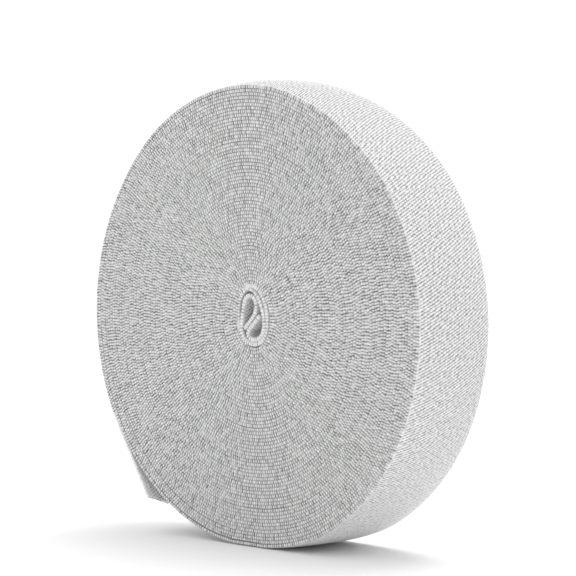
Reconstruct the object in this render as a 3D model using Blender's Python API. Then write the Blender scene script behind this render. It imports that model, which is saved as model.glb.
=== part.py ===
"""A roll of white knitted elastic, wound tightly on itself and standing on its edge.

Metres, +Z up. The roll's axis runs along Y, and its front face looks along -Y. The origin lies
on the surface that the roll stands on, below the axis and halfway across the strip's width.
Outlines are drawn in the front face's plane, as (x, z) from the roll's axis.
"""

import math

import bmesh
import bpy
from mathutils import Vector
from mathutils.geometry import convex_hull_2d

# The elastic
STRIP_WIDTH = 0.0381
STRIP_THICKNESS = 0.0015
EDGE_ROUNDING = 0.0005

# The wound roll
ROLL_RADIUS = 0.088  # over the outermost turn, where the loose end leaves it
LEAVING_ANGLE = math.radians(208)  # anticlockwise from +X, seen from the front
FLAT_WIDTH = 0.016  # the spot that the roll's own weight flattens
GAP = 0.0003
STEP_DOWN = STRIP_THICKNESS + GAP  # from the outermost turn to the one below the loose end
OUTLINE_STEPS = 180

# The loose end
FOLLOWING_ANGLE = math.radians(5)  # how far it still lies along the roll
FOLLOWING_STEPS = 4
STRAIGHT_LENGTH = 0.0275  # its front edge, from there to the cut
SLANT_OF_CUT = 0.009  # how much longer its back edge is
SLANT_STEPS = 6

# The two eyes that the winder's split spindle left in the core. The strip ran round each as a
# belt runs round pins: (x, z, radius) of each pin.
UPPER_EYE = ((0.0011, 0.0055, 0.0023), (-0.0018, -0.0025, 0.0005))
LOWER_EYE = ((0.0051, -0.0042, 0.0025), (0.0070, -0.0010, 0.0006), (0.0020, -0.0049, 0.0008))
PIN_STEPS = 24

WHITE = (0.80, 0.80, 0.79, 1.0)
SMOOTH_UP_TO = math.radians(30)


def clear_scene():
    for obj in list(bpy.data.objects):
        bpy.data.objects.remove(obj, do_unlink=True)


def knit_material(name):
    """Soft white yarn: rough, with a slight sheen."""
    material = bpy.data.materials.new(name)
    material.use_nodes = True
    shader = material.node_tree.nodes["Principled BSDF"]
    shader.inputs["Base Color"].default_value = WHITE
    shader.inputs["Roughness"].default_value = 0.9
    shader.inputs["Metallic"].default_value = 0.0
    shader.inputs["Sheen Weight"].default_value = 0.3
    return material


def finish_object(name, bm, location):
    """Turns a bmesh into a named object with its own material, smooth but for its edges."""
    bmesh.ops.recalc_face_normals(bm, faces=bm.faces)
    mesh = bpy.data.meshes.new(name)
    bm.to_mesh(mesh)
    bm.free()
    mesh.materials.append(knit_material(name + "_knit"))
    mesh.shade_smooth()
    mesh.set_sharp_from_angle(angle=SMOOTH_UP_TO)
    obj = bpy.data.objects.new(name, mesh)
    obj.location = location
    bpy.context.scene.collection.objects.link(obj)


def on_circle(radius, angle):
    return Vector((radius * math.cos(angle), radius * math.sin(angle)))


def bridge(bm, rings):
    """Walls from each ring of corners to the next."""
    count = len(rings[0])
    for low, high in zip(rings, rings[1:]):
        for i in range(count):
            j = (i + 1) % count
            bm.faces.new((low[i], low[j], high[j], high[i]))


def outer_radius(angle):
    """The radius grows by one step over the outermost turn, which ends at the loose end."""
    share = (angle - LEAVING_ANGLE) / math.tau
    return ROLL_RADIUS - STEP_DOWN * (1 - share)


def axis_height():
    """The height at which the turn at the bottom is cut by the floor over the flat's width."""
    radius = outer_radius(math.radians(270))
    return math.sqrt(radius**2 - (FLAT_WIDTH / 2) ** 2)


def roll_outline():
    """Once round the roll, from the foot of the step under the loose end to its top."""
    floor = -axis_height()
    flat = [Vector((-FLAT_WIDTH / 2, floor)), Vector((FLAT_WIDTH / 2, floor))]
    points = []
    for i in range(OUTLINE_STEPS + 1):
        angle = LEAVING_ANGLE + math.tau * i / OUTLINE_STEPS
        point = on_circle(outer_radius(angle), angle)
        if point.y > floor:
            points.append(point)
        elif flat[0] not in points:
            points += flat
    return points


def belt_round(pins):
    """The outline that a taut belt takes round a few pins."""
    points = []
    for x, z, radius in pins:
        for i in range(PIN_STEPS):
            points.append(Vector((x, z)) + on_circle(radius, math.tau * i / PIN_STEPS))
    return [points[i] for i in convex_hull_2d(points)]


def inset(outline, distance):
    """The outline moved to its own left by a distance, corner by corner."""
    moved = []
    for i, point in enumerate(outline):
        before = (point - outline[i - 1]).normalized()
        after = (outline[(i + 1) % len(outline)] - point).normalized()
        normal = Vector((-before.y - after.y, before.x + after.x)).normalized()
        moved.append(point + normal * distance)
    return moved


def rounded_wall(bm, outline, rounding):
    """A wall through the strip's width, with its front and back edges rounded towards its left.

    It returns the edges of its front rim and of its back rim.
    """
    half = STRIP_WIDTH / 2
    eased = 1 - math.sqrt(0.5)
    levels = (
        (-half, rounding),
        (-half + EDGE_ROUNDING * eased, rounding * eased),
        (-half + EDGE_ROUNDING, 0),
        (half - EDGE_ROUNDING, 0),
        (half - EDGE_ROUNDING * eased, rounding * eased),
        (half, rounding),
    )
    rings = []
    for y, step_in in levels:
        rings.append([bm.verts.new((p.x, y, p.y)) for p in inset(outline, step_in)])
    bridge(bm, rings)
    rims = []
    for ring in (rings[0], rings[-1]):
        rims.append([bm.edges.get((corner, ring[i - 1])) for i, corner in enumerate(ring)])
    return rims


def make_roll(location):
    """All the wound turns as one solid, with the two eyes running right through the core."""
    bm = bmesh.new()
    fronts, backs = rounded_wall(bm, roll_outline(), EDGE_ROUNDING)
    for pins in (UPPER_EYE, LOWER_EYE):
        front, back = rounded_wall(bm, belt_round(pins), -EDGE_ROUNDING / 2)
        fronts += front
        backs += back
    bmesh.ops.triangle_fill(bm, use_beauty=True, edges=fronts)
    bmesh.ops.triangle_fill(bm, use_beauty=True, edges=backs)
    finish_object("roll", bm, location)


def loose_end_side(radius, straight):
    """One long side of the loose end's section: along the roll, then straight off it."""
    start = LEAVING_ANGLE + GAP / radius
    points = []
    for i in range(FOLLOWING_STEPS + 1):
        angle = start + FOLLOWING_ANGLE * i / FOLLOWING_STEPS
        points.append(on_circle(radius, angle))
    along = Vector((-math.sin(angle), math.cos(angle)))
    points.append(points[-1] + along * straight)
    return points


def make_loose_end(location):
    """The strip's cut end, which has sprung away from the roll. Its cut runs at a slant."""
    bm = bmesh.new()
    sections = []
    for i in range(SLANT_STEPS + 1):
        share = i / SLANT_STEPS
        y = STRIP_WIDTH * (share - 0.5)
        straight = STRAIGHT_LENGTH + SLANT_OF_CUT * math.sin(share * math.pi / 2)
        outer = loose_end_side(ROLL_RADIUS, straight)
        inner = loose_end_side(ROLL_RADIUS - STRIP_THICKNESS, straight)
        sections.append([bm.verts.new((p.x, y, p.y)) for p in outer + inner[::-1]])
    bridge(bm, sections)
    for section in (sections[0], sections[-1]):
        outer = section[: len(section) // 2]
        inner = section[: len(outer) - 1 : -1]
        for i in range(len(outer) - 1):
            bm.faces.new((outer[i], outer[i + 1], inner[i + 1], inner[i]))
    finish_object("loose_end", bm, location)


def main():
    clear_scene()
    on_the_axis = (0, 0, axis_height())
    make_roll(on_the_axis)
    make_loose_end(on_the_axis)


main()
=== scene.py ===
# %% [markdown]
# # A roll of knitted elastic
# The real object is one strip of white elastic, 38 mm wide and nearly 18 m long, wound tightly
# on itself with no core. It stands on its edge, and its cut end has sprung a little way off.
# Everything here is one ribbon that follows one route: its thickness is measured across the
# route, its width lies along Y, and its stitches are counted along the route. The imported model
# gives the place and the outer sizes, and stays as it is.

import math

import bmesh
import bpy
import numpy as np
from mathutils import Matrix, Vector


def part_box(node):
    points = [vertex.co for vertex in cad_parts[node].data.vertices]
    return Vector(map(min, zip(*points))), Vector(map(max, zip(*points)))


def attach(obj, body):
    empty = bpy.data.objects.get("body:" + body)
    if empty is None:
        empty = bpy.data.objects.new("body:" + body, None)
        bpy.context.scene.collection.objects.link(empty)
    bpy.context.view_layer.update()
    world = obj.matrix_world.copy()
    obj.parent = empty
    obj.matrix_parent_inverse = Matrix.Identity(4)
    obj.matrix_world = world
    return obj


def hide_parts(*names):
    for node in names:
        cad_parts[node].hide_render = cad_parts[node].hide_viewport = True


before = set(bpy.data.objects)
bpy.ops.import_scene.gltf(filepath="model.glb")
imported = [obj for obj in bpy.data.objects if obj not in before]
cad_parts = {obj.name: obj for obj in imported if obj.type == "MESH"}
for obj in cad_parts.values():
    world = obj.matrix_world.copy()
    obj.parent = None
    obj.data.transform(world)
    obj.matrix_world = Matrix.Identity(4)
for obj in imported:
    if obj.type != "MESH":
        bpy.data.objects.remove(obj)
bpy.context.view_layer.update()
print("packed nodes:", sorted(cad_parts))

# %% [markdown]
# ## Sizes
# The strip's width and the height of the roll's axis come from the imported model, whose left
# side is where the outermost turn is at its full radius. The knit is counted in needles: such
# elastic has twenty wales, or columns of stitches, to the inch. Along the strip a stitch takes
# a little less, because the rubber draws the knit together. Lengths are in metres, and MM
# turns millimetres into them.

# %% Read the sizes
MM = 0.001
roll_low, roll_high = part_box("roll")
WIDTH = roll_high.y - roll_low.y
ROLL_RADIUS = 88.0 * MM
LEAVING_ANGLE = math.radians(208)
AXIS_HEIGHT = roll_high.z - 87.41 * MM
STITCH = 1.18 * MM
WALES = 30
print("width", round(WIDTH / MM, 2), "mm, axis height", round(AXIS_HEIGHT / MM, 2), "mm")

# %% [markdown]
# ## The route of the strip
# Seen from the front, the strip starts in the middle and winds anticlockwise. A winder grips
# the first few centimetres in a split spindle, and when the spindle is drawn out two eyes stay
# behind, with the strip running slantwise between them. That part has no rule, so its points
# are listed one by one. From there on each turn eases from the egg shape of the core to the round
# of the finished roll, which is one formula: an ellipse that turns into a circle.

# %% Place the first turn from listed points and the rest by a formula
INNER_ROUTE = np.array([
    (-1.6, -3.45), (0.25, -1.65), (1.95, 0.1), (3.5, 1.85), (4.35, 4.0), (4.3, 6.2),
    (3.2, 8.1), (1.4, 8.9), (-0.4, 8.5), (-1.6, 7.0), (-2.2, 4.8), (-2.75, 2.4),
    (-3.15, 0.0), (-3.45, -2.5), (-3.35, -4.7), (-2.4, -6.7), (-0.6, -8.2), (1.8, -9.15),
    (4.2, -9.25), (6.8, -8.45), (8.8, -6.75), (10.0, -4.3), (10.45, -1.5), (10.35, 1.5),
    (9.8, 4.4), (8.75, 7.2), (7.0, 9.9), (4.5, 11.9),
]) * MM
SECOND_ROUTE = np.array([
    (6.4, 1.6), (4.6, -0.25), (2.95, -1.9), (1.4, -3.3), (0.35, -4.7), (0.45, -6.2),
    (1.7, -7.25), (3.7, -7.6), (5.7, -7.2), (7.3, -6.0), (8.3, -4.2), (8.75, -2.2),
    (8.65, 0.0), (8.25, 2.2), (7.5, 4.6), (6.4, 7.0), (4.9, 9.2), (2.9, 10.8),
    (0.6, 11.35), (-1.4, 10.7), (-3.1, 9.0), (-4.2, 6.8), (-4.7, 4.5), (-4.85, 2.2),
    (-4.87, 0.0), (-4.8, -2.2), (-4.4, -4.6),
]) * MM
FIRST_ANGLE = math.radians(97)
TURNS = 57 + (LEAVING_ANGLE - FIRST_ANGLE) / math.tau
CORE_CENTRE = np.array((2.85, 1.15)) * MM
CORE_RADII = np.array((8.65, 11.65)) * MM
CORE_TILT = math.radians(7)
PITCH = 1.33 * MM
UNROUND = np.array((0.7, 0.2, -0.6, 0.5, 0.5, -0.4, -0.4, -0.4, -0.6, -0.9, 0.6, 1.0)) * MM


def unround(angle):
    """How far the hand-wound rim strays from a circle, set at every twelfth of a turn."""
    twelfth = (angle / math.tau * len(UNROUND)) % len(UNROUND)
    before = np.floor(twelfth).astype(int) % len(UNROUND)
    after = (before + 1) % len(UNROUND)
    ease = (1 - np.cos(math.pi * (twelfth - np.floor(twelfth)))) / 2
    return UNROUND[before] * (1 - ease) + UNROUND[after] * ease


def wound(turn):
    """Where the middle of the strip's thickness is, as x and z from the roll's axis."""
    angle = FIRST_ANGLE + math.tau * turn
    share = turn / TURNS
    across = np.cos(angle - CORE_TILT) / CORE_RADII[0]
    along = np.sin(angle - CORE_TILT) / CORE_RADII[1]
    egg = 1 / np.hypot(across, along)
    radius = egg * (1 - share) + (ROLL_RADIUS - PITCH / 2 + unround(angle)) * share
    x = CORE_CENTRE[0] * (1 - share) + radius * np.cos(angle)
    z = CORE_CENTRE[1] * (1 - share) + radius * np.sin(angle)
    return np.stack([x, z], axis=-1)


def smooth_route(points, steps=30):
    """A smooth curve through given points."""
    ends = np.vstack([2 * points[0] - points[1], points, 2 * points[-1] - points[-2]])
    t = np.linspace(0, 1, steps, endpoint=False)[:, None]
    parts = []
    for a, b, c, d in zip(ends, ends[1:], ends[2:], ends[3:]):
        bend = 2 * a - 5 * b + 4 * c - d
        twist = 3 * b - a - 3 * c + d
        parts.append(b + (c - a) * t / 2 + bend * t**2 / 2 + twist * t**3 / 2)
    return np.vstack([*parts, points[-1:]])


def lengths_along(route):
    steps = np.linalg.norm(np.diff(route, axis=0), axis=1)
    return np.concatenate([[0], np.cumsum(steps)])


JOIN = 0.2  # turns of the formula that the curve through the listed points runs through, for a smooth join
joint_points = wound(np.linspace(0, JOIN, 5))
start = smooth_route(np.vstack([INNER_ROUTE, joint_points]))
turns_after = np.linspace(JOIN, TURNS, int(TURNS * 900))
route = np.vstack([start[:-1], wound(turns_after)])
INNER_LENGTH = lengths_along(start)[-1]
print("strip length", round(lengths_along(route)[-1], 3), "m in", round(TURNS, 1), "turns")

# %% [markdown]
# ## Counting the stitches
# A knit is the same stitch over and over, so the route is cut into steps of half a stitch: one
# step lies on the crown of a stitch, and the next in the hollow before the next stitch. At each
# step the strip has a cross-section that stands square to the route. A knit is never quite
# even, so the steps drift a little and jitter, with a fixed seed that makes every run the same.

# %% Step along the route
HALF_STITCH = STITCH / 2
DRIFT = 0.42 * STITCH
JITTER = 0.10 * STITCH
rng = np.random.default_rng(59)


def slow_noise(x, step, size):
    """Smooth random values along x, a new one at every step."""
    count = int((x.max() - x.min()) / step) + 3
    values = rng.normal(0, size, count + 1)
    t = (x - x.min()) / step
    i = t.astype(int)
    t = t - i
    ease = t * t * (3 - 2 * t)
    return values[i] * (1 - ease) + values[i + 1] * ease


def stepped(route):
    """Places along the route at every half stitch, and the points there."""
    along = lengths_along(route)
    places = np.arange(int(along[-1] / HALF_STITCH) + 1) * HALF_STITCH
    uneven = slow_noise(places, 0.035, DRIFT) + rng.normal(0, JITTER, len(places))
    uneven *= np.clip(np.minimum(places, places[-1] - places) / (20 * MM), 0, 1)
    points = [np.interp(places + uneven, along, route[:, axis]) for axis in (0, 1)]
    return places, np.stack(points, axis=-1)


def sides_of(points):
    """The direction square to the route, which points out of the roll."""
    forward = np.gradient(points, axis=0)
    forward /= np.linalg.norm(forward, axis=1)[:, None]
    return np.stack([forward[:, 1], -forward[:, 0]], axis=-1)


places, points = stepped(route)
outwards = sides_of(np.stack([np.interp(places, lengths_along(route), route[:, i]) for i in (0, 1)], axis=-1))
turn_at = np.interp(places, lengths_along(route)[len(start) - 1:], turns_after)
before_formula = places < INNER_LENGTH
turn_at[before_formula] = JOIN - (INNER_LENGTH - places[before_formula]) / (70 * MM)
print(len(places), "steps along the strip")

# %% [markdown]
# ## How thick the strip is at each step
# Wound elastic is pressed until each turn touches the next, so its half-thickness is half the
# distance to the turn beside it. The first centimetres, in the eyes, are free and keep their
# relaxed thickness. Turns also stand slightly apart here and there, where the winder's pull
# changed, and at two places the roll has opened far enough to show a dark line.

# %% Find the thickness at each step
RELAXED = 0.88 * MM  # half the thickness of the strip where nothing presses it
AIR = 0.015 * MM
LOOSE = 0.05 * MM
OPENINGS = [(TURNS - 5.03, TURNS - 4.84, 0.42 * MM), (TURNS - 1.93, TURNS - 1.80, 0.42 * MM)]
TURN_SCALE = np.linspace(-3, TURNS + 1, 6000)
looseness = np.clip(slow_noise(TURN_SCALE, 0.21, LOOSE), 0, None)
for first, last, width in OPENINGS:
    share = np.clip((TURN_SCALE - first) / (last - first), 0, 1)
    looseness += width * np.sin(math.pi * share) ** 0.7


def spacing(turn, away):
    """Half the distance to the next turn on one side, less the air between them."""
    step = (wound(turn + away) - wound(turn)) * away
    between = np.minimum(turn, turn + away)
    air = AIR + np.interp(between, TURN_SCALE, looseness) / 2
    return np.einsum("ij,ij->i", step, outwards) / 2 - air


held = np.clip(turn_at / 0.3, 0, 1)
inner_half = RELAXED * (1 - held) + spacing(np.maximum(turn_at, 1), -1) * held
outer_half = RELAXED * (1 - held) + spacing(np.maximum(turn_at, 0), 1) * held

CORE_GAP = 0.40 * MM
PRESSED_FLAT = 0.58  # how much thinner the second strand is where the first turn lies on it
second = smooth_route(SECOND_ROUTE)


def second_half(share):
    """Half the second strand's thickness, from its free end at 0 to its trapped end at 1."""
    return RELAXED * (1 - (1 - PRESSED_FLAT) * np.clip((share - 0.58) / 0.12, 0, 1))


inner_part = start[lengths_along(start) < INNER_LENGTH - 25 * MM]
along_second = lengths_along(second)
beneath = np.vstack([inner_part, second])
beneath_half = np.append(
    np.full(len(inner_part), RELAXED), second_half(along_second / along_second[-1])
)
first_turn = (turn_at > 0.06) & (turn_at < 1)
apart = np.linalg.norm(points[first_turn][:, None] - beneath[None], axis=2) - beneath_half
reach = np.clip(apart.min(axis=1) - CORE_GAP, 0.5 * MM, 1.3 * MM)
inner_half[first_turn] = reach
print("pressed to", round(2 * np.median(outer_half) / MM, 2), "mm in most turns")

# %% [markdown]
# ## The barrel of the roll
# The strip is a hair thicker in the middle of its width than at its edges. Over 57 turns that
# adds up, so the rim swells like a barrel, except at the bottom, where the weight presses it.

# %% Find how far each turn swells
BARREL = 2.4 * MM
LOAD_ANGLE = math.radians(35)  # how far round from the bottom the weight presses the rim
around = (FIRST_ANGLE + math.tau * turn_at) % math.tau
pressed = 0.8 * np.exp(-(((around - math.radians(270)) / LOAD_ANGLE) ** 2))
barrel = BARREL * np.clip(turn_at / TURNS, 0, 1) ** 1.5 * (1 - pressed)
print("the rim swells by", round(barrel.max() / MM, 2), "mm")

# %% [markdown]
# ## The edges of the strip
# The flat faces of the roll are nothing but the strip's two edges, turn beside turn. Each edge
# is a row of small round stitches. No two turns lie at quite the same depth, and no two
# stitches are quite the same size, which is what keeps a wound face from looking like a
# machined disc. Both are random, drawn with a fixed seed so that every run is the same.

# %% Let the edges wander
WANDER = 0.07 * MM
UNEVEN = 0.05 * MM


def edge_wander(places):
    """How far each step's edge stands proud: slow along the strip, and uneven by stitch."""
    slow = slow_noise(places, 0.11, WANDER) + slow_noise(places, 0.024, WANDER * 0.5)
    stitch = (places / STITCH + 0.5).astype(int)
    return slow + rng.normal(0, UNEVEN, stitch.max() + 1)[stitch]


front = -WIDTH / 2 + edge_wander(places)
back = WIDTH / 2 + edge_wander(places)
print("edges lie within", round(np.ptp(front) / MM, 2), "mm of each other")

# %% [markdown]
# ## A cross-section
# Going round the strip, a section has a selvedge of five points at the front, the outer side,
# a selvedge at the back, and the inner side. On a crown the selvedge is full and round, and in
# a hollow it is narrower and set back, so a row of sections makes a row of stitches. Only where
# a side can be seen does it get columns of its own, two to a wale. There the stitches of
# neighbouring wales are half a stitch out of step, as in any knit.

# %% Build the cross-sections
WALE = WIDTH / WALES
CROWN = np.array([(-1.0, 0.34), (-0.70, 0.07), (0.0, 0.0), (0.70, 0.07), (1.0, 0.34)])
HOLLOW = np.array([(-0.86, 0.66), (-0.55, 0.52), (0.0, 0.46), (0.55, 0.52), (0.86, 0.66)])
RELIEF = 0.20 * MM
RIB = 0.035 * MM
PALE_EDGE_BAND = 3.0 * MM  # over the last wales beside a selvedge the painted shade of the flat side fades, leaving a paler band
SELVEDGE_EVEN_PAINTED_SHADE = 0.30  # painted shade, even over each selvedge, so the roll's flat faces come out greyer than the rim
SELVEDGE_HOLLOW_PAINTED_SHADE = 0.62  # painted shade in the hollows between stitches of a selvedge, beside that of the flat side


def crown_share(places):
    """1 on the crown of a stitch and 0 in the hollow beside it."""
    return 0.5 + 0.5 * np.cos(math.tau * places / STITCH)


def relief(places, y):
    """How far the knit stands out of the flat side of the strip."""
    across = (y + WIDTH / 2) / WALE
    stitches = np.cos(math.tau * places / STITCH) * np.cos(math.pi * (across - 0.5))
    return RELIEF * stitches + RIB * np.cos(math.pi * (across - 0.5)) ** 2 - RIB / 2


def swell(y):
    """1 in the middle of the strip's width and 0 at its edges."""
    return 1 - np.abs(2 * y / WIDTH) ** 2.5


def section_points(
    places,
    inner,
    outer,
    front,
    back,
    knit_inside=False,
    knit_outside=False,
    barrel=0.0,
    shade=1.0,
):
    """(offset across the route, y) of each point round each section, and the shade painted there."""
    full = crown_share(places)
    columns = np.arange(1, 2 * WALES) * WALE / 2 - WIDTH / 2
    hidden = np.linspace(-0.4, 0.4, 5) * WIDTH if knit_outside else np.zeros(1)
    offset, depth, hollow = [], [], []

    def selvedge(points, edge, inward):
        for crown, low in points:
            share = crown[0] * full + low[0] * (1 - full)
            inset = (crown[1] * full + low[1] * (1 - full)) * MM
            offset.append(share * np.where(share < 0, inner, outer))
            depth.append(edge + inset * inward)
            # painted shade on the selvedge: darker in the hollows between stitches, and darker still on its
            # sides, where the turns meet
            selvedge_painted_shade = SELVEDGE_EVEN_PAINTED_SHADE + SELVEDGE_HOLLOW_PAINTED_SHADE * (1 - full)
            turn_gap_painted_shade = 0.46 + 0.4 * selvedge_painted_shade
            hollow.append(shade * (selvedge_painted_shade if abs(crown[0]) < 0.9 else turn_gap_painted_shade))

    def side(half, sign, order, knit):
        for y in order:
            height = relief(places, y) if knit else np.zeros(len(places))
            offset.append(sign * (half - knit * RELIEF / 2 + height) + barrel * swell(y))
            depth.append(np.full(len(places), y))
            # painted shade on the flat side: darker where the knit lies low, lighter where it stands out
            clear = np.clip((WIDTH / 2 - abs(y)) / PALE_EDGE_BAND, 0.2, 1)
            hollow.append(shade * (0.5 - 1.3 * clear * height / RELIEF))

    selvedge(zip(CROWN, HOLLOW), front, 1)
    side(outer, 1, columns if knit_outside else hidden, knit_outside)
    selvedge(zip(CROWN[::-1], HOLLOW[::-1]), back, -1)
    side(inner, -1, columns[::-1] if knit_inside else hidden[::-1], knit_inside)
    return np.stack(offset, 1), np.stack(depth, 1), np.clip(np.stack(hollow, 1), 0, 1)


print("a wound section has", section_points(places[:2], *[np.ones(2)] * 4)[0].shape[1], "points")

# %% [markdown]
# ## The flat spot
# A soft roll that stands on its edge settles until a narrow strip of it lies flat. Lifting only
# the outermost turn would crush it through the next, so the lift fades over the turns above.

# %% Settle the roll on its flat spot
LOWEST_RADIUS = 86.5 * MM
SETTLING_DEPTH = 12 * MM


def settled(x, z):
    """Heights above the floor, with the bottom of the roll lifted out of it."""
    below = AXIS_HEIGHT < np.sqrt(np.maximum(LOWEST_RADIUS**2 - x**2, 0))
    lift = np.where(below, np.sqrt(np.maximum(LOWEST_RADIUS**2 - x**2, 0)) - AXIS_HEIGHT, 0)
    fade = np.exp(-(LOWEST_RADIUS - np.hypot(x, z)) / SETTLING_DEPTH)
    return np.maximum(AXIS_HEIGHT + z + np.where(z < 0, lift * fade, 0), 0)


print("flat spot", round(2 * math.sqrt(LOWEST_RADIUS**2 - AXIS_HEIGHT**2) / MM, 1), "mm wide")

# %% [markdown]
# ## From sections to a piece
# Each section is joined to the next by a band of faces, and the two end sections are closed.
# Three things are kept with the mesh. One layer of UVs counts stitches along the strip and
# wales across it, so the yarn follows the strip round every bend. A second lays the bands out
# in rows that fill a square, for anyone who bakes the finish into an image. And each point
# keeps the shade painted there, darkest in the hollows, which the finish paints into the colour.

# %% A function that makes a piece of strip
def baking_rows(steps, around):
    """The strip cut into rows that fill a square: each corner's place in it."""
    rows = max(1, round(math.sqrt(steps / around)))
    per_row = math.ceil(steps / rows)
    step, place = np.meshgrid(np.arange(steps), np.arange(around), indexing="ij")
    left = (step % per_row + 0.0) / per_row
    low = (step // per_row + 0.02 + 0.96 * place / around) / rows
    right, high = left + 1 / per_row, low + 0.96 / around / rows
    return np.stack([left, low, left, high, right, high, right, low], -1).reshape(-1, 2)


def end_faces(around, ladder):
    """The faces that close a section: one, or a ladder across a section knitted both sides."""
    if not ladder:
        return [list(range(around))]
    edge = len(CROWN)
    half = around // 2
    rungs = [[edge - 1, edge, around - 1, 0]]
    rungs += [[edge + i, edge + i + 1, around - 2 - i, around - 1 - i] for i in range(half - edge)]
    return [list(range(edge)), *rungs, list(range(half, half + edge))]


def strip_piece(name, places, points, outwards, section, last_steps=None):
    """A length of strip. With last_steps, each column of points stops at its own step."""
    offset, y, hollow = section
    steps, around = offset.shape
    ladder = last_steps is not None
    taken = np.repeat(np.arange(steps)[:, None], around, axis=1)
    if ladder:
        taken = np.minimum(taken, last_steps)
    offset, y, hollow = (np.take_along_axis(part, taken, 0) for part in (offset, y, hollow))
    x = points[taken, 0] + outwards[taken, 0] * offset
    z = settled(x, points[taken, 1] + outwards[taken, 1] * offset)
    corners = np.stack([x, y, z], -1).reshape(-1, 3)
    index = np.arange(steps * around).reshape(steps, around)
    turned = np.roll(index, -1, axis=1)
    bands = np.stack([index[:-1], turned[:-1], turned[1:], index[1:]], -1).reshape(-1, 4)
    end = end_faces(around, ladder)
    ends = [index[0, face[::-1]].tolist() for face in end]
    ends += [index[-1, face].tolist() for face in end]
    mesh = bpy.data.meshes.new(name)
    mesh.from_pydata(corners.tolist(), [], bands.tolist() + ends)
    mesh.shade_smooth()

    along = places[taken].reshape(-1) / STITCH
    across = (y.reshape(-1) + WIDTH / 2) / WALE
    loops = np.concatenate([bands.reshape(-1), *ends])
    knit = mesh.uv_layers.new(name="Knit")
    knit.data.foreach_set("uv", np.stack([along, across], -1)[loops].astype("f").reshape(-1))
    baking = mesh.uv_layers.new(name="OFBake")
    spare = np.zeros((len(loops) - bands.size, 2))
    layout = np.vstack([baking_rows(steps - 1, around), spare])
    baking.data.foreach_set("uv", layout.astype("f").reshape(-1))
    mesh.uv_layers.active = knit
    knit.active_render = True
    # the painted shade of each point, darkest in the hollows, kept under the name hollow
    kept = mesh.attributes.new("hollow", "FLOAT", "POINT")
    kept.data.foreach_set("value", hollow.astype("f").reshape(-1))
    if ladder:
        bm = bmesh.new()
        bm.from_mesh(mesh)
        bmesh.ops.remove_doubles(bm, verts=bm.verts, dist=0.001 * MM)
        bm.to_mesh(mesh)
        bm.free()

    piece = bpy.data.objects.new(name, mesh)
    bpy.context.scene.collection.objects.link(piece)
    length = lengths_along(points)[-1]
    triangles = sum(len(face.vertices) - 2 for face in mesh.polygons)
    print(name, round(length, 3), "m of strip,", triangles, "triangles")
    return piece, length


# %% [markdown]
# ## The wound turns
# All but the last turn show only their edges, so their sides have no columns. The strip is cut
# into four lengths to keep each mesh light, and the cuts fall inside the roll, edge to edge.

# %% Wind the inner turns
knit_pieces = {}
OUTER_TURN = int(np.searchsorted(turn_at, TURNS - 1))
WOUND_START = int(np.searchsorted(turn_at, 0.06))
LENGTHS = 4


def part_of_route(name, first, last, **sides):
    cut = slice(first, last + 1)
    section = section_points(
        places[cut],
        inner_half[cut],
        outer_half[cut],
        front[cut],
        back[cut],
        barrel=barrel[cut],
        **sides,
    )
    knit_pieces[name] = strip_piece(name, places[cut], points[cut], outwards[cut], section)


cuts = np.linspace(WOUND_START, OUTER_TURN, LENGTHS + 1).astype(int)
for number, (first, last) in enumerate(zip(cuts, cuts[1:]), 1):
    part_of_route(f"wound_turns_{number}", first, last)

# %% [markdown]
# ## The outermost turn
# Its outer side is the roll's rim, where the whole width of the knit shows.

# %% Wind the outermost turn
part_of_route("outermost_turn", OUTER_TURN, len(places) - 1, knit_outside=True)

# %% [markdown]
# ## The core
# The winder gripped the strip double. The inner end runs slantwise between the eyes, round the
# upper eye and back under everything to join the first turn. The second strand lies along it,
# round the lower eye, and is trapped under the first loop. Both sides of both strands can be
# seen through the eyes, so both are knitted.

# %% Run the two strands of the core
# the core's strands get only part of the painted shade between stitches
CORE_SHADE = 0.8
part_of_route(
    "core_inner_end", 0, WOUND_START, knit_inside=True, knit_outside=True, shade=CORE_SHADE
)


def free_strand(name, route, thickness):
    places, points = stepped(route)
    half = thickness(places / places[-1])
    edges = [edge_wander(places) - WIDTH / 2, edge_wander(places) + WIDTH / 2]
    section = section_points(
        places, half, half, *edges, knit_inside=True, knit_outside=True, shade=CORE_SHADE
    )
    knit_pieces[name] = strip_piece(name, places, points, sides_of(points), section)


free_strand("core_second_strand", second, second_half)

# %% [markdown]
# ## The loose end
# The cut end follows the roll for a few degrees and then stands straight off it. Scissors went
# through at a slant, so the back edge is longer than the front one. The steps are those of the
# longest edge, and each column stops where the cut crosses it; the spare points there fall
# together and are merged.

# %% Make the loose end
FOLLOWING_ANGLE = math.radians(5)
STRAIGHT_LENGTH = 30.5 * MM
SLANT_OF_CUT = 9 * MM


def loose_route():
    """Along the roll, then straight, as distances from where the outermost turn ends."""
    angles = LEAVING_ANGLE + np.linspace(0, FOLLOWING_ANGLE, 12)
    middle = np.linalg.norm(points[-1])
    arc = np.stack([np.cos(angles), np.sin(angles)], axis=-1) * middle
    ahead = np.array([-math.sin(angles[-1]), math.cos(angles[-1])])
    return np.vstack([arc, arc[-1] + ahead * (STRAIGHT_LENGTH + SLANT_OF_CUT)])


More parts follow.
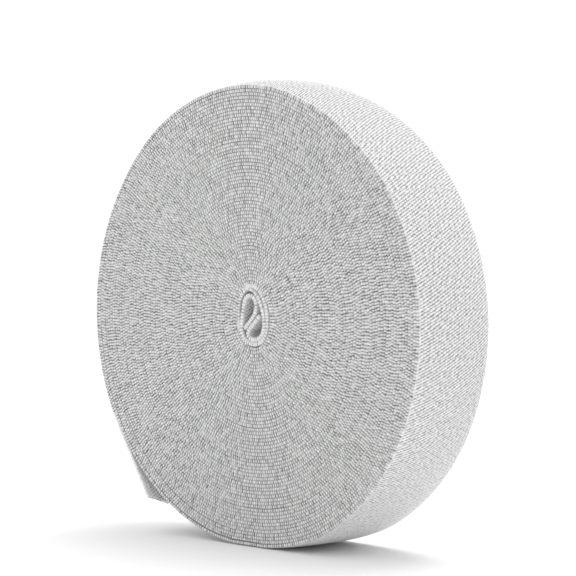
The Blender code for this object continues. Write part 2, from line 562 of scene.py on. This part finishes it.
route_off = loose_route()
off_places, off_points = stepped(route_off)
off_places = off_places + places[-1]
off_half = np.full(len(off_places), outer_half[-1])
edges = [np.full(len(off_places), edge) for edge in (front[-1], back[-1])]
flattening = np.exp(-(off_places - off_places[0]) / (8 * MM))
loose_section = section_points(
    off_places,
    off_half,
    off_half,
    *edges,
    barrel=barrel[-1] * flattening,
    knit_inside=True,
    knit_outside=True,
    # the loose end gets half the painted shade between stitches
    shade=0.5,
)
across_share = np.clip((loose_section[1][0] + WIDTH / 2) / WIDTH, 0, 1)
following = FOLLOWING_ANGLE * np.linalg.norm(points[-1])
column_lengths = following + STRAIGHT_LENGTH + SLANT_OF_CUT * np.sin(across_share * math.pi / 2)
last_steps = (column_lengths / HALF_STITCH).astype(int)
knit_pieces["loose_end_strip"] = strip_piece(
    "loose_end_strip", off_places, off_points, sides_of(off_points), loose_section, last_steps
)

# %% [markdown]
# ## The finish of the yarn
# The yarn is white and matt, with a faint sheen from its loose fibres. Light dies in the hollows
# between stitches, and that shade is painted into the colour, which follows how hollow each
# point is; the painted grey also stands for the rubber core that shows through there. A noise on
# the strip's own UVs makes some stitches lighter or darker than others, and a finer one, drawn
# out along the yarn, raises single fibres. UVs keep both fixed to the cloth, so they run round
# the roll with it.

# %% Make the knit material
# The colour runs from white on the crowns of the stitches to grey in the hollows: painted shade, which also
# stands for the grey of the rubber core showing through.
CROWN_WHITE = (0.95, 0.95, 0.95, 1)
FLANK_WHITE = (0.80, 0.80, 0.80, 1)
HOLLOW_SHADE_AND_RUBBER_GREY = (0.10, 0.10, 0.10, 1)


def new_material(name):
    material = bpy.data.materials.new(name)
    material.use_nodes = True
    tree = material.node_tree

    def add(kind, **settings):
        node = tree.nodes.new("ShaderNode" + kind)
        for setting, value in settings.items():
            setattr(node, setting, value)
        return node

    return material, tree.nodes["Principled BSDF"], add, tree.links.new


def noise_on(add, link, vector, scale, detail):
    texture = add("TexNoise")
    texture.inputs["Scale"].default_value = scale
    texture.inputs["Detail"].default_value = detail
    link(vector, texture.inputs["Vector"])
    return texture.outputs["Fac"]


def mapped(add, link, value, low, high, to_low, to_high):
    node = add("MapRange")
    link(value, node.inputs["Value"])
    for name, number in zip(("From Min", "From Max", "To Min", "To Max"), (low, high, to_low, to_high)):
        node.inputs[name].default_value = number
    return node.outputs["Result"]


def added(add, link, first, second):
    node = add("Math", operation="ADD")
    link(first, node.inputs[0])
    link(second, node.inputs[1])
    return node.outputs[0]


def make_knit(name):
    material, shader, add, link = new_material(name)
    strip = add("UVMap", uv_map="Knit").outputs["UV"]
    # the painted shade kept with each point under the name hollow
    hollow = add("Attribute", attribute_name="hollow").outputs["Fac"]

    uneven = mapped(add, link, noise_on(add, link, strip, 0.9, 1.0), 0.3, 0.7, -0.16, 0.16)
    shade = added(add, link, hollow, uneven)
    colours = add("ValToRGB")
    ramp = colours.color_ramp
    ramp.elements[0].position, ramp.elements[0].color = 0.0, CROWN_WHITE
    ramp.elements[1].position, ramp.elements[1].color = 1.0, HOLLOW_SHADE_AND_RUBBER_GREY
    ramp.elements.new(0.45).color = FLANK_WHITE
    link(shade, colours.inputs["Fac"])
    link(colours.outputs["Color"], shader.inputs["Base Color"])

    stretched = add("Mapping")
    stretched.inputs["Scale"].default_value = (3.0, 9.0, 1.0)
    link(strip, stretched.inputs["Vector"])
    fibres = noise_on(add, link, stretched.outputs["Vector"], 1.0, 3.0)
    bump = add("Bump")
    bump.inputs["Strength"].default_value = 0.5
    bump.inputs["Distance"].default_value = 0.12 * MM
    link(fibres, bump.inputs["Height"])
    link(bump.outputs["Normal"], shader.inputs["Normal"])
    link(mapped(add, link, fibres, 0.3, 0.7, 0.80, 0.96), shader.inputs["Roughness"])
    shader.inputs["Sheen Weight"].default_value = 0.25
    shader.inputs["Sheen Roughness"].default_value = 0.6
    return material


knit_cloth = make_knit("white_knit")
print("finish:", knit_cloth.name)

for name, (piece, length) in knit_pieces.items():
    piece.data.materials.append(knit_cloth)
    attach(piece, "root")
    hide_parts("loose_end" if name == "loose_end_strip" else "roll")

# %% [markdown]
# ## The floor and the light

# %% Lay the floor
bpy.ops.object.select_all(action="DESELECT")
bpy.ops.mesh.primitive_circle_add(vertices=96, radius=8, fill_type="NGON", location=(0, 0, 0))
floor = bpy.context.object
floor.name = "studio_floor"
floor_paint = bpy.data.materials.new("pale_floor")
floor_paint.use_nodes = True
paint = floor_paint.node_tree.nodes["Principled BSDF"]
paint.inputs["Base Color"].default_value = (0.94, 0.94, 0.94, 1)
paint.inputs["Roughness"].default_value = 0.9
floor.data.materials.append(floor_paint)

# %% Light the room
world = bpy.data.worlds.new("studio")
bpy.context.scene.world = world
world.use_nodes = True
sky = world.node_tree.nodes["Background"]
place = world.node_tree.nodes.new("ShaderNodeTexCoord")
parts = world.node_tree.nodes.new("ShaderNodeSeparateXYZ")
ramp = world.node_tree.nodes.new("ShaderNodeMapRange")
world.node_tree.links.new(place.outputs["Generated"], parts.inputs[0])
world.node_tree.links.new(parts.outputs["Z"], ramp.inputs["Value"])
ramp.inputs["From Min"].default_value = 0.10
ramp.inputs["From Max"].default_value = 0.35
ramp.inputs["To Min"].default_value = 1.15
ramp.inputs["To Max"].default_value = 0.92
world.node_tree.links.new(ramp.outputs["Result"], sky.inputs["Strength"])
sky.inputs["Color"].default_value = (1, 1, 1, 1)


sun = bpy.data.lights.new("key_light", "SUN")
sun.energy = 1.2
sun.angle = math.radians(35)
lamp = bpy.data.objects.new("key_light", sun)
lamp.rotation_euler = Vector((0.0, 0.30, 1.0)).to_track_quat("Z", "Y").to_euler()
bpy.context.scene.collection.objects.link(lamp)

# %% Place the camera
VIEW_AZIMUTH = math.radians(45.65)
VIEW_ELEVATION = math.radians(3.58)
VIEW_DISTANCE = 1.056
FOCAL_LENGTH = 173.0
centre = Vector((0, 0, AXIS_HEIGHT))
towards_camera = Vector((
    math.sin(VIEW_AZIMUTH) * math.cos(VIEW_ELEVATION),
    -math.cos(VIEW_AZIMUTH) * math.cos(VIEW_ELEVATION),
    math.sin(VIEW_ELEVATION),
))
to_the_right = Vector((math.cos(VIEW_AZIMUTH), math.sin(VIEW_AZIMUTH), 0))
lens = bpy.data.cameras.new("camera")
lens.lens = FOCAL_LENGTH
lens.sensor_width = 36
camera = bpy.data.objects.new("camera", lens)
camera.location = centre + towards_camera * VIEW_DISTANCE
aim = centre + Vector((0, 0, 11.1 * MM)) + to_the_right * 1.95 * MM
camera.rotation_euler = (aim - camera.location).to_track_quat("-Z", "Y").to_euler()
bpy.context.scene.collection.objects.link(camera)
bpy.context.scene.camera = camera
bpy.context.scene.view_settings.view_transform = "Standard"
